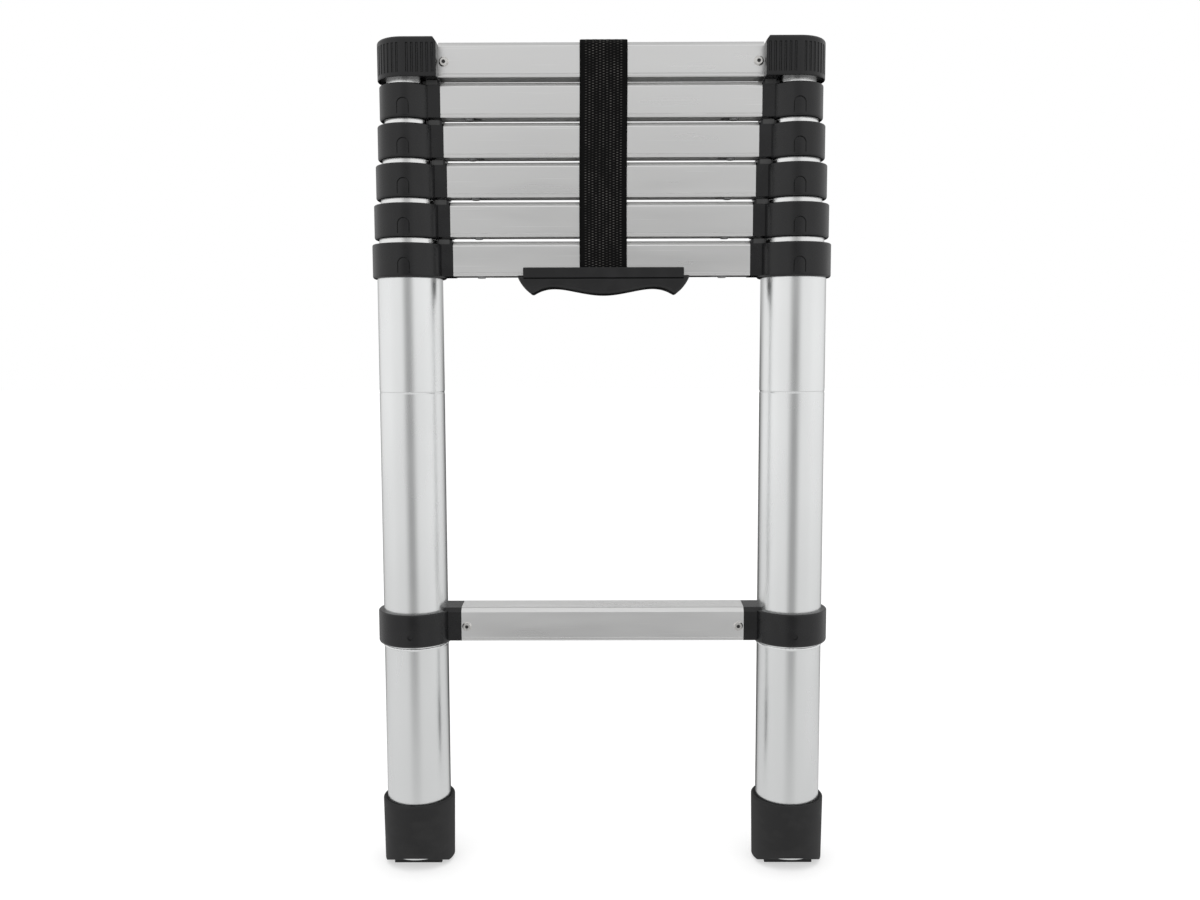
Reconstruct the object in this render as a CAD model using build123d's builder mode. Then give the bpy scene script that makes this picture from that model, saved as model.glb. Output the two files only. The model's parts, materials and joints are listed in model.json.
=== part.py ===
"""Telescopic extension ladder, stored closed.

Seven rungs join two columns of six nested aluminium tubes. Each tube carries a nylon collar at its
top, and the next smaller tube slides up out of it. A spring-loaded pin in the collar drops into a
hole near the foot of that tube when the section is fully out, and a button under the rung pulls the
pin back. Millimetres, +Z up, the climber stands on the -Y side, and the origin is on the floor
midway between the two columns.
"""

import os
from math import radians, tan

from build123d import *

os.makedirs("parts", exist_ok=True)

# The two columns of tubes
TUBE_SPACING = 313.0
OUTER_TUBE_D = 53.0
TUBE_STEP = 4.0
TUBE_WALL = 1.2
LOWEST_TUBE = 2
TOP_TUBE = 7
OUTER_TUBE_BOTTOM = 9.0
FIRST_INNER_BOTTOM = 151.0
TUBE_SHORT_OF_COLLAR = 2.4

# Rolled groove and bead on the outer tubes
GROOVE_Z = 398.0
GROOVE_R = 1.2
GROOVE_DEPTH = 0.35
BEAD_Z = 187.4
BEAD_R = 1.6
BEAD_PROUD = 0.5
GROOVE_HOLE_R = 1.8

# Heights of the rungs, closed and open
OPEN_PITCH = 300.0
CLOSED_PITCH = 31.3
FIRST_COLLAR_BASE = 190.0
COLLAR_HEIGHT = 27.4
TRAVEL = OPEN_PITCH - CLOSED_PITCH

# Collars: outside radius, and reach of the neck from the tube's axis to the end of the rung
COLLAR_RADIUS = {1: 30.8, 2: 30.0, 3: 28.0, 4: 26.0, 5: 24.0, 6: 22.0, 7: 23.2}
NECK_REACH = {1: 39.4, 2: 36.9, 3: 35.0, 4: 32.9, 5: 30.6, 6: 28.4, 7: 27.0}
LOWER_EDGE_ROUND = 2.2
UPPER_EDGE_ROUND = 1.2
NECK_ROUND = 0.8
LIP_GAP = 0.35
RIM_GAP = 0.5

# Arched slit in the front of each collar, and the dimple of the fixed ones
RELEASE_WIDTH = 10.0
RELEASE_HEIGHT = 12.5
RELEASE_LINE = 0.8
RELEASE_BASE = 3.2
RELEASE_DEPTH = 1.5
DIMPLE_R = 2.3
DIMPLE_Z = 9.0
DIMPLE_DEPTH = 1.0

# End caps: upright ribs with creases between them
CAP_RIBS = 36
CAP_RIB_PITCH = 4.0
CAP_CREASE_R = 0.9
CAP_RIB_LOW = 3.2
CAP_RIB_HIGH = 26.0
CAP_HEIGHT = 31.0
CAP_ROUND = 2.6
CAP_LOWER_ROUND = 0.8
CAP_SLOPE_WIDTH = 3.0
CAP_SLOPE_HEIGHT = 4.2

# Guide bushes
BUSH_HEIGHT = 8.0
BUSH_SPIGOT = 12.0
BUSH_RUNNING_GAP = 0.35
BUSH_SPIGOT_GAP = 0.1
BUSH_BORE_R = 7.0
BUSH_CHAMFER = 1.0

# Rung: a hollow extrusion with a bevel along the front of its tread
RUNG_DEPTH = 24.0
RUNG_FRONT_HEIGHT = 24.3
RUNG_CREST_HEIGHT = 27.5
RUNG_CREST_DEPTH = 2.8
RUNG_REAR_HEIGHT = 28.7
RUNG_WALL = 1.5
RUNG_ABOVE_COLLAR_BASE = 1.6
RUNG_BEVEL = 7.0
RUNG_FRONT_ROUND = 1.2
RUNG_REAR_ROUND = 1.5
RUNG_BOTTOM_ROUND = 1.0
TREAD_BEADS = 8
TREAD_BEAD_R = 0.55
TREAD_BEAD_PITCH = 2.35
FRONT_GROOVE_Z = 2.6
FRONT_GROOVE_R = 0.45
SPIGOT_FIT = 0.2
SPIGOT_LENGTH = 12.0

# Latch: pin, slider with its button, and spring, in a cradle inside the rung
PIN_HEIGHT = 13.7
PIN_R = 4.0
PIN_SEAT_GAP = 0.05
PIN_CHAMFER = 1.0
PIN_HOLE_R = 4.35
PIN_CLEAR_OF_TUBE = 0.35
LATCH_TRAVEL = 6.0
SLIDER_START = 14.0
SLIDER_LENGTH = 16.0
SLIDER_HALF_WIDTH = 7.5
SLIDER_HALF_HEIGHT = 6.5
PIN_IN_SLIDER = 8.0
CRADLE_END = 44.0
CRADLE_WALL = 3.0
CRADLE_POCKET_HALF = 8.6
CRADLE_POCKET_TOP = 8.0
CRADLE_SLOPE_WALL = 2.0
BUTTON_OFFSET = 22.0
BUTTON_Y = -3.5
BUTTON_R = 3.5
BUTTON_PROUD = 1.2
BUTTON_ROUND = 0.8
SLOT_CLEARANCE = 0.6
SPRING_RADIUS = 4.0
SPRING_WIRE_R = 0.5
SPRING_TURNS = 6
SPRING_END_GAP = 0.7

# Rivets
RIVET_FROM_NECK = 4.5
RIVET_HEIGHT = 12.1
RIVET_HEAD_R = 4.0
RIVET_HEAD_HEIGHT = 1.4
RIVET_HEAD_TAPER = 38
RIVET_HOLE_GAP = 0.05
RIVET_SHANK_R = 2.4
RIVET_SHANK_LENGTH = 7.0
RIVET_EYE_R = 1.4
RIVET_EYE_DEPTH = 1.0

# Stop pads between the stacked collars
PAD_WIDTH = 8.8
PAD_FROM_RISER = 2.0
RISER_PAST_NECK = 1.2
PAD_DEPTH = 8.0
PAD_GAP = 0.1
PAD_CHAMFER = 0.4
RISER_GAP = 0.7
RISER_TOP = CLOSED_PITCH - RISER_GAP

# Feet
FOOT_TOP_R = 30.0
FOOT_BOTTOM_R = 29.25
FOOT_HEIGHT = 56.0
FOOT_LIP = 1.6
FOOT_RIM = 1.0
SOLE_Z = 3.0
SOLE_FLAT_HALF = 13.0
SOLE_BEVEL = 28.0
TREAD_WIDTH = 40.0
TREAD_RIBS = 4
TREAD_RIB_DEPTH = 4.2
TREAD_RIB_PITCH = 6.4
TREAD_ROUND = 0.6

# Strap and handle
STRAP_X = 1.5
STRAP_WIDTH = 38.0
STRAP_THICKNESS = 1.6
STRAP_GAP = 0.3
STRAP_CORNER_ROUND = 2.0
HANDLE_PLATE_HALF = 64.6
HANDLE_PLATE_TOP = 498.4
HANDLE_PLATE_DEPTH = 16.0
HANDLE_PLATE_ROUND = 0.8
HANDLE_SEAT_Z = 491.3
HANDLE_HORN_TIP = 69.4
HANDLE_HORN_FOOT = 58.0
HANDLE_HORN_ROUND = 2.5
HANDLE_BOTTOM = 477.0
HANDLE_FINGER_X = 41.0
HANDLE_FINGER_RISE = 5.4
HANDLE_BELLY_X = 24.0
HANDLE_BELLY_RISE = 3.2
HANDLE_HORN_BULGE = 1.0
GRIP_HALF_DEPTH = 15.0
GRIP_ROUND = 3.0

# How far a cut runs past the face that it opens, and one solid into the next
OVERCUT = 1.0

# How far a 45 degree corner moves along its wall when the section is drawn in by 1 mm
CORNER_SHIFT = tan(radians(22.5))

COLUMN_X = -TUBE_SPACING / 2
COLLARS_ON_TUBES = range(LOWEST_TUBE, TOP_TUBE)
TREAD_SLOPE = (RUNG_REAR_HEIGHT - RUNG_CREST_HEIGHT) / (RUNG_DEPTH - RUNG_CREST_DEPTH)


def tube_r(k):
    """Outside radius of tube k, counted from the rung at its top."""
    return (OUTER_TUBE_D - TUBE_STEP * (k - LOWEST_TUBE)) / 2


def collar_base(k):
    """Height of the underside of collar k when the ladder is closed."""
    if k == 1:
        return FIRST_COLLAR_BASE
    return FIRST_COLLAR_BASE + OPEN_PITCH + CLOSED_PITCH * (k - LOWEST_TUBE)


def rung_bottom(k):
    return collar_base(k) + RUNG_ABOVE_COLLAR_BASE


def tube_top(k):
    if k == TOP_TUBE:
        return collar_base(k) + COLLAR_HEIGHT
    return collar_base(k) + COLLAR_HEIGHT - TUBE_SHORT_OF_COLLAR


def tube_bottom(k):
    if k == LOWEST_TUBE:
        return OUTER_TUBE_BOTTOM
    return FIRST_INNER_BOTTOM + CLOSED_PITCH * (k - LOWEST_TUBE - 1)


def column_plane(z):
    """Level plane on the left column's axis."""
    return Plane((COLUMN_X, 0, z))


def cross_plane(x, z=0.0):
    """Plane across the rungs at x, drawn in (Y, Z) from height z, facing +X."""
    return Plane(origin=(x, 0, z), x_dir=(0, 1, 0), z_dir=(1, 0, 0))


def tread_height(y):
    """Height of the tread above the rung's underside, behind its crest."""
    crest_y = RUNG_CREST_DEPTH - RUNG_DEPTH / 2
    return RUNG_CREST_HEIGHT + (y - crest_y) * TREAD_SLOPE


def rung_corners(inset):
    """Corners of the rung's section drawn in by inset, in (Y, Z) from the rung's underside."""
    half = RUNG_DEPTH / 2 - inset
    shift = inset * CORNER_SHIFT
    crest_y = RUNG_CREST_DEPTH - RUNG_DEPTH / 2 + shift
    return [
        (-half, inset),
        (-half, RUNG_FRONT_HEIGHT - shift),
        (crest_y, tread_height(crest_y) - inset),
        (half, tread_height(half) - inset),
        (half, RUNG_BEVEL + shift),
        (RUNG_DEPTH / 2 - RUNG_BEVEL - shift, inset),
    ]


def tread_bead_points():
    """Centres of the anti-slip beads along the tread."""
    first = RUNG_CREST_DEPTH + TREAD_BEAD_PITCH - RUNG_DEPTH / 2
    places = []
    for i in range(TREAD_BEADS):
        y = first + i * TREAD_BEAD_PITCH
        places.append((y, tread_height(y)))
    return places


def riser_reach(k):
    """Reach of the riser on collar k, just past the neck of the collar above."""
    return NECK_REACH[k + 1] + RISER_PAST_NECK


def pad_plane(k):
    """Level plane under the middle of the stop pad on collar k."""
    x = COLUMN_X + riser_reach(k) - PAD_FROM_RISER - PAD_WIDTH / 2
    return Plane((x, (PAD_DEPTH - RUNG_DEPTH) / 2, collar_base(k) + COLLAR_HEIGHT))


def half_rung(k):
    """Half the length of rung k, between the two neck ends."""
    return TUBE_SPACING / 2 - NECK_REACH[k]


# ---------------------------------------------------------------- feet
# Rubber boots on the outer tubes, with a flat tread between two bevels.
with BuildPart() as foot_left:
    with BuildSketch(Plane((COLUMN_X, 0, 0), x_dir=(1, 0, 0), z_dir=(0, -1, 0))):
        with BuildLine():
            Polyline(
                (0, SOLE_Z),
                (FOOT_BOTTOM_R, SOLE_Z),
                (FOOT_TOP_R, FOOT_HEIGHT - FOOT_RIM),
                (FOOT_TOP_R - FOOT_RIM, FOOT_HEIGHT),
                (tube_r(2) + FOOT_LIP, FOOT_HEIGHT),
                (tube_r(2), FOOT_HEIGHT - FOOT_LIP),
                (tube_r(2), OUTER_TUBE_BOTTOM),
                (0, OUTER_TUBE_BOTTOM),
                close=True,
            )
        make_face()
    revolve(axis=Axis((COLUMN_X, 0, 0), (0, 0, 1)))
    bevel_rise = (FOOT_TOP_R - SOLE_FLAT_HALF) * tan(radians(SOLE_BEVEL))
    for end in (-1, 1):
        with BuildSketch(cross_plane(COLUMN_X - FOOT_TOP_R, SOLE_Z)):
            with BuildLine():
                Polyline(
                    (end * SOLE_FLAT_HALF, 0),
                    (end * FOOT_TOP_R, bevel_rise),
                    (end * FOOT_TOP_R, 0),
                    close=True,
                )
            make_face()
        extrude(amount=2 * FOOT_TOP_R, mode=Mode.SUBTRACT)
    # tread ribs across the sole
    for i in range(TREAD_RIBS):
        y = (i - (TREAD_RIBS - 1) / 2) * TREAD_RIB_PITCH
        with BuildSketch(Plane((COLUMN_X, y, 0))):
            RectangleRounded(TREAD_WIDTH, TREAD_RIB_DEPTH, TREAD_ROUND)
        extrude(amount=SOLE_Z + OVERCUT)
foot_left.part.label = "foot_left"
export_step(foot_left.part, "parts/foot_left.step")

with BuildPart() as foot_right:
    mirror(foot_left.part, about=Plane.YZ)
foot_right.part.label = "foot_right"
export_step(foot_right.part, "parts/foot_right.step")


# ---------------------------------------------------------------- tubes
# Drawn aluminium. Each has a pin hole at its collar, and a lock hole for the pin below it.
def hole_in_tube(z, radius, reach):
    """Bores the inward side of the left column's tube at height z."""
    with BuildSketch(cross_plane(COLUMN_X, z)) as profile:
        Circle(radius)
    extrude(profile.sketch, amount=reach, mode=Mode.SUBTRACT)


RING_SECTION = Plane((COLUMN_X, 0, 0), x_dir=(1, 0, 0), z_dir=(0, -1, 0))
COLUMN_AXIS = Axis((COLUMN_X, 0, 0), (0, 0, 1))

tube_parts = {}
for k in range(LOWEST_TUBE, TOP_TUBE + 1):
    with BuildPart() as tube:
        with BuildSketch(column_plane(tube_bottom(k))):
            Circle(tube_r(k))
        extrude(amount=tube_top(k) - tube_bottom(k))
        if k == LOWEST_TUBE:
            with BuildSketch(RING_SECTION):
                with Locations((tube_r(k) + BEAD_PROUD - BEAD_R, BEAD_Z)):
                    Circle(BEAD_R)
            revolve(axis=COLUMN_AXIS)
            with BuildSketch(RING_SECTION):
                with Locations((tube_r(k) + GROOVE_R - GROOVE_DEPTH, GROOVE_Z)):
                    Circle(GROOVE_R)
            revolve(axis=COLUMN_AXIS, mode=Mode.SUBTRACT)
        with BuildSketch(column_plane(tube_bottom(k))):
            Circle(tube_r(k) - TUBE_WALL)
        extrude(amount=tube_top(k) - tube_bottom(k), mode=Mode.SUBTRACT)
        if k < TOP_TUBE:
            hole_in_tube(collar_base(k) + PIN_HEIGHT, PIN_HOLE_R, OUTER_TUBE_D)
        if k > LOWEST_TUBE:
            hole_in_tube(collar_base(k - 1) + PIN_HEIGHT - TRAVEL, PIN_HOLE_R, OUTER_TUBE_D)
        else:
            hole_in_tube(GROOVE_Z, GROOVE_HOLE_R, OUTER_TUBE_D)
    tube_parts[k] = tube.part

with BuildPart() as tube_2_left:
    add(tube_parts[2])
tube_2_left.part.label = "tube_2_left"
export_step(tube_2_left.part, "parts/tube_2_left.step")

with BuildPart() as tube_2_right:
    mirror(tube_parts[2], about=Plane.YZ)
tube_2_right.part.label = "tube_2_right"
export_step(tube_2_right.part, "parts/tube_2_right.step")

for k in range(LOWEST_TUBE + 1, TOP_TUBE + 1):
    with BuildPart() as tube_pair:
        add(tube_parts[k])
        mirror(tube_parts[k], about=Plane.YZ)
    tube_pair.part.label = f"tubes_{k}"
    export_step(tube_pair.part, f"parts/tubes_{k}.step")


# ---------------------------------------------------------------- guide bushes
# Nylon plugs in the lower ends of the sliding tubes, which keep them central in the next tube.
for k in range(LOWEST_TUBE + 1, TOP_TUBE + 1):
    with BuildPart() as bush_pair:
        with BuildSketch(column_plane(tube_bottom(k) - BUSH_HEIGHT)):
            Circle(tube_r(k - 1) - TUBE_WALL - BUSH_RUNNING_GAP)
        extrude(amount=BUSH_HEIGHT)
        chamfer(bush_pair.edges().sort_by(Axis.Z)[0], length=BUSH_CHAMFER)
        with BuildSketch(column_plane(tube_bottom(k))):
            Circle(tube_r(k) - TUBE_WALL - BUSH_SPIGOT_GAP)
        extrude(amount=BUSH_SPIGOT)
        with BuildSketch(column_plane(tube_bottom(k) - BUSH_HEIGHT)):
            Circle(BUSH_BORE_R)
        extrude(amount=BUSH_HEIGHT + BUSH_SPIGOT, mode=Mode.SUBTRACT)
        mirror(about=Plane.YZ)
    bush_pair.part.label = f"guide_bushes_{k}"
    export_step(bush_pair.part, f"parts/guide_bushes_{k}.step")


# ---------------------------------------------------------------- rungs
# Hollow aluminium extrusions with a beaded tread and a fine groove along the front.
def rung_slots(k):
    """Slots under the rung for the two release buttons."""
    slot_length = 2 * (BUTTON_R + SLOT_CLEARANCE) + LATCH_TRAVEL
    slot_x = half_rung(k) - BUTTON_OFFSET - LATCH_TRAVEL / 2
    for side in (-1, 1):
        with BuildSketch(Plane((side * slot_x, BUTTON_Y, rung_bottom(k)))) as profile:
            SlotOverall(slot_length, 2 * (BUTTON_R + SLOT_CLEARANCE))
        extrude(profile.sketch, amount=RUNG_WALL + OVERCUT, mode=Mode.SUBTRACT)


def rivet_holes(k, x_from_middle):
    """Holes for the blind rivets through the front and back walls at both ends."""
    for side in (-1, 1):
        place = (side * x_from_middle, -RUNG_DEPTH / 2, rung_bottom(k) + RIVET_HEIGHT)
        with BuildSketch(Plane(place, x_dir=(1, 0, 0), z_dir=(0, -1, 0))) as profile:
            Circle(RIVET_SHANK_R + RIVET_HOLE_GAP)
        extrude(profile.sketch, amount=-RUNG_DEPTH, mode=Mode.SUBTRACT)


for k in range(1, TOP_TUBE + 1):
    with BuildPart() as rung:
        with BuildSketch(cross_plane(-half_rung(k), rung_bottom(k))) as section:
            with BuildLine():
                Polyline(*rung_corners(0), close=True)
            make_face()
            heights = section.vertices().group_by(Axis.Y)
            fillet(heights[-3] + heights[-2], radius=RUNG_FRONT_ROUND)
            fillet(section.vertices().group_by(Axis.Y)[-1], radius=RUNG_REAR_ROUND)
            fillet(section.vertices().group_by(Axis.Y)[0], radius=RUNG_BOTTOM_ROUND)
            with Locations(*tread_bead_points()):
                Circle(TREAD_BEAD_R)
            with Locations((-RUNG_DEPTH / 2, FRONT_GROOVE_Z)):
                Circle(FRONT_GROOVE_R, mode=Mode.SUBTRACT)
            with BuildLine():
                Polyline(*rung_corners(RUNG_WALL), close=True)
            make_face(mode=Mode.SUBTRACT)
        extrude(amount=2 * half_rung(k))
        if k in COLLARS_ON_TUBES:
            rung_slots(k)
        else:
            rivet_holes(k, half_rung(k) - RIVET_FROM_NECK)
    rung.part.label = f"rung_{k}"
    export_step(rung.part, f"parts/rung_{k}.step")


# ---------------------------------------------------------------- collars
# Glass-filled nylon: a ring round the tube, a neck that meets the rung, and a spigot inside it.
def ring(k):
    """Round body of collar k, with rounded rims."""
    with BuildSketch(column_plane(collar_base(k))) as profile:
        Circle(COLLAR_RADIUS[k])
    extrude(profile.sketch, amount=COLLAR_HEIGHT)
    rims = collar.edges().filter_by(GeomType.CIRCLE).sort_by(Axis.Z)
    fillet(rims[0], radius=LOWER_EDGE_ROUND)
    fillet(rims[-1], radius=UPPER_EDGE_ROUND)


def neck(k):
    """Block from the tube's axis to the end of the rung, with the rung's own outline."""
    half = RUNG_DEPTH / 2
    with BuildSketch(cross_plane(COLUMN_X, rung_bottom(k))) as profile:
        with BuildLine():
            Polyline(
                (-half, 0),
                (-half, RUNG_FRONT_HEIGHT),
                (RUNG_CREST_DEPTH - half, RUNG_CREST_HEIGHT),
                (half, RUNG_REAR_HEIGHT),
                (half, 0),
                close=True,
            )
        make_face()
        fillet(profile.vertices(), radius=NECK_ROUND)
    extrude(profile.sketch, amount=NECK_REACH[k])


def riser(k):
    """Step on the neck that the next collar lands on."""
    height = RISER_TOP - RUNG_ABOVE_COLLAR_BASE
    with BuildSketch(cross_plane(COLUMN_X, rung_bottom(k))) as profile:
        with Locations((0, height / 2)):
            RectangleRounded(RUNG_DEPTH, height, NECK_ROUND)
    extrude(profile.sketch, amount=riser_reach(k))


def spigot(k, length):
    """Plug that fills the end of the rung."""
    with BuildSketch(cross_plane(COLUMN_X + NECK_REACH[k], rung_bottom(k))) as profile:
        with BuildLine():
            Polyline(*rung_corners(RUNG_WALL + SPIGOT_FIT), close=True)
        make_face()
    extrude(profile.sketch, amount=length)


def tube_socket(k):
    with BuildSketch(column_plane(collar_base(k))) as profile:
        Circle(tube_r(k))
    extrude(profile.sketch, amount=tube_top(k) - collar_base(k), mode=Mode.SUBTRACT)


def release_tongue(k):
    """Narrow arched slit moulded in the front of the ring."""
    front = (COLUMN_X, -COLLAR_RADIUS[k] + RELEASE_DEPTH, collar_base(k) + RELEASE_BASE)
    straight = RELEASE_HEIGHT - RELEASE_WIDTH / 2
    with BuildSketch(Plane(front, x_dir=(1, 0, 0), z_dir=(0, -1, 0))) as profile:
        for inset, mode in ((0, Mode.ADD), (RELEASE_LINE, Mode.SUBTRACT)):
            half = RELEASE_WIDTH / 2 - inset
            with Locations((0, straight)):
                Circle(half, mode=mode)
            with Locations((0, straight / 2)):
                Rectangle(2 * half, straight, mode=mode)
    extrude(profile.sketch, amount=2 * RELEASE_DEPTH, mode=Mode.SUBTRACT)


def latch_cradle(k):
    """Pin bore, and the pocket inside the rung where the slider and its spring work."""
    pin_z = collar_base(k) + PIN_HEIGHT
    with BuildSketch(cross_plane(COLUMN_X, pin_z)) as profile:
        Circle(PIN_HOLE_R)
    extrude(profile.sketch, amount=NECK_REACH[k] + SPIGOT_LENGTH, mode=Mode.SUBTRACT)
    pocket_floor = RUNG_BEVEL + RUNG_WALL - PIN_HEIGHT
    with BuildSketch(cross_plane(COLUMN_X + NECK_REACH[k] + SPIGOT_LENGTH, pin_z)) as profile:
        with BuildLine():
            Polyline(
                (-CRADLE_POCKET_HALF, -PIN_HEIGHT),
                (-CRADLE_POCKET_HALF, CRADLE_POCKET_TOP),
                (CRADLE_POCKET_HALF, CRADLE_POCKET_TOP),
                (CRADLE_POCKET_HALF, pocket_floor),
                (RUNG_DEPTH / 2 - RUNG_BEVEL - CRADLE_SLOPE_WALL, -PIN_HEIGHT),
                close=True,
            )
        make_face()
    extrude(profile.sketch, amount=CRADLE_END - SPIGOT_LENGTH, mode=Mode.SUBTRACT)


def cap_ribs(k):
    """Creases round the cap and along its straight sides, which leave upright convex ribs."""
    cap_r = COLLAR_RADIUS[k]
    with BuildSketch(column_plane(collar_base(k) + CAP_RIB_LOW)) as profile:
        with PolarLocations(cap_r, CAP_RIBS // 2 + 1, 90, 180):
            Circle(CAP_CREASE_R)
        straight_ribs = int((NECK_REACH[k] - CAP_CREASE_R) / CAP_RIB_PITCH)
        for i in range(1, straight_ribs + 1):
            with Locations((i * CAP_RIB_PITCH, cap_r), (i * CAP_RIB_PITCH, -cap_r)):
                Circle(CAP_CREASE_R)
    extrude(profile.sketch, amount=CAP_RIB_HIGH - CAP_RIB_LOW, mode=Mode.SUBTRACT)


def clamp_dimple(k):
    """Small recess low on the front of the fixed collar."""
    front = (COLUMN_X, -COLLAR_RADIUS[k] + DIMPLE_DEPTH, collar_base(k) + DIMPLE_Z)
    with BuildSketch(Plane(front, x_dir=(1, 0, 0), z_dir=(0, -1, 0))) as profile:
        Circle(DIMPLE_R)
    extrude(profile.sketch, amount=2 * DIMPLE_DEPTH, mode=Mode.SUBTRACT)


collar_parts = {}
with BuildPart() as collar:
    ring(1)
    neck(1)
    spigot(1, SPIGOT_LENGTH)
    clamp_dimple(1)
    rivet_holes(1, half_rung(1) - RIVET_FROM_NECK)
    with BuildSketch(column_plane(collar_base(1))):
        Circle(tube_r(2))
    extrude(amount=2 * COLLAR_HEIGHT, mode=Mode.SUBTRACT)
collar_parts[1] = collar.part

for k in COLLARS_ON_TUBES:
    with BuildPart() as collar:
        ring(k)
        neck(k)
        riser(k)
        spigot(k, CRADLE_END + CRADLE_WALL)
        release_tongue(k)
        tube_socket(k)
        with BuildSketch(column_plane(collar_base(k))):
            Circle(tube_r(k + 1) + LIP_GAP)
        extrude(amount=2 * COLLAR_HEIGHT, mode=Mode.SUBTRACT)
        with BuildSketch(column_plane(collar_base(k) + COLLAR_HEIGHT)):
            Circle(tube_r(k) + RIM_GAP)
        extrude(amount=COLLAR_HEIGHT, mode=Mode.SUBTRACT)
        latch_cradle(k)
        with BuildSketch(pad_plane(k)):
            Rectangle(PAD_WIDTH, PAD_DEPTH)
        extrude(amount=COLLAR_HEIGHT, mode=Mode.SUBTRACT)
    collar_parts[k] = collar.part

# The end cap is round on the outer side of the tube, and straight from there to the rung.
with BuildPart() as cap:
    with BuildSketch(column_plane(collar_base(7))):
        Circle(COLLAR_RADIUS[7])
        with Locations((NECK_REACH[7] / 2, 0)):
            Rectangle(NECK_REACH[7], 2 * COLLAR_RADIUS[7])
    extrude(amount=CAP_HEIGHT)
    fillet(cap.edges().group_by(Axis.Z)[-1], radius=CAP_ROUND)
    fillet(cap.edges().group_by(Axis.Z)[0], radius=CAP_LOWER_ROUND)
    # slope from the flat top down to the rung
    with BuildSketch(Plane((COLUMN_X, 0, collar_base(7)), x_dir=(1, 0, 0), z_dir=(0, -1, 0))):
        with BuildLine():
            Polyline(
                (NECK_REACH[7] - CAP_SLOPE_WIDTH, CAP_HEIGHT),
                (NECK_REACH[7], CAP_HEIGHT - CAP_SLOPE_HEIGHT),
                (NECK_REACH[7], CAP_HEIGHT),
                close=True,
            )
        make_face()
    extrude(amount=COLLAR_RADIUS[7], both=True, mode=Mode.SUBTRACT)
    spigot(7, SPIGOT_LENGTH)
    cap_ribs(7)
    rivet_holes(7, half_rung(7) - RIVET_FROM_NECK)
    tube_socket(7)
collar_parts[7] = cap.part

for k, left_part in collar_parts.items():
    name = "end_cap" if k == TOP_TUBE else f"collar_{k}"
    with BuildPart() as collar_left:
        add(left_part)
    collar_left.part.label = f"{name}_left"
    export_step(collar_left.part, f"parts/{name}_left.step")
    with BuildPart() as collar_right:
        mirror(left_part, about=Plane.YZ)
    collar_right.part.label = f"{name}_right"
    export_step(collar_right.part, f"parts/{name}_right.step")


# ---------------------------------------------------------------- stop pads
# Elastomer pads let into the risers, where each collar lands on the one below.
for k in COLLARS_ON_TUBES:
    with BuildPart() as pad_pair:
        with BuildSketch(pad_plane(k)):
            Rectangle(PAD_WIDTH, PAD_DEPTH)
        extrude(amount=CLOSED_PITCH - COLLAR_HEIGHT - PAD_GAP)
        chamfer(pad_pair.edges().group_by(Axis.Z)[-1], length=PAD_CHAMFER)
        mirror(about=Plane.YZ)
    pad_pair.part.label = f"stop_pads_{k}"
    export_step(pad_pair.part, f"parts/stop_pads_{k}.step")


# ---------------------------------------------------------------- rivets
# Blind rivets that hold the lowest and the highest rung to their spigots, front and back.
for k in (1, TOP_TUBE):
    with BuildPart() as rivets:
        for face in (-1, 1):
            place = (
                -half_rung(k) + RIVET_FROM_NECK,
                face * RUNG_DEPTH / 2,
                rung_bottom(k) + RIVET_HEIGHT,
            )
            outward = Plane(place, x_dir=(1, 0, 0), z_dir=(0, face, 0))
            with BuildSketch(outward):
                Circle(RIVET_HEAD_R)
            extrude(amount=RIVET_HEAD_HEIGHT, taper=RIVET_HEAD_TAPER)
            with BuildSketch(outward):
                Circle(RIVET_SHANK_R)
            extrude(amount=-RIVET_SHANK_LENGTH)
            with BuildSketch(outward.offset(RIVET_HEAD_HEIGHT - RIVET_EYE_DEPTH)):
                Circle(RIVET_EYE_R)
            extrude(amount=2 * RIVET_EYE_DEPTH, mode=Mode.SUBTRACT)
        mirror(about=Plane.YZ)
    rivets.part.label = f"rivets_{k}"
    export_step(rivets.part, f"parts/rivets_{k}.step")


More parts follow.
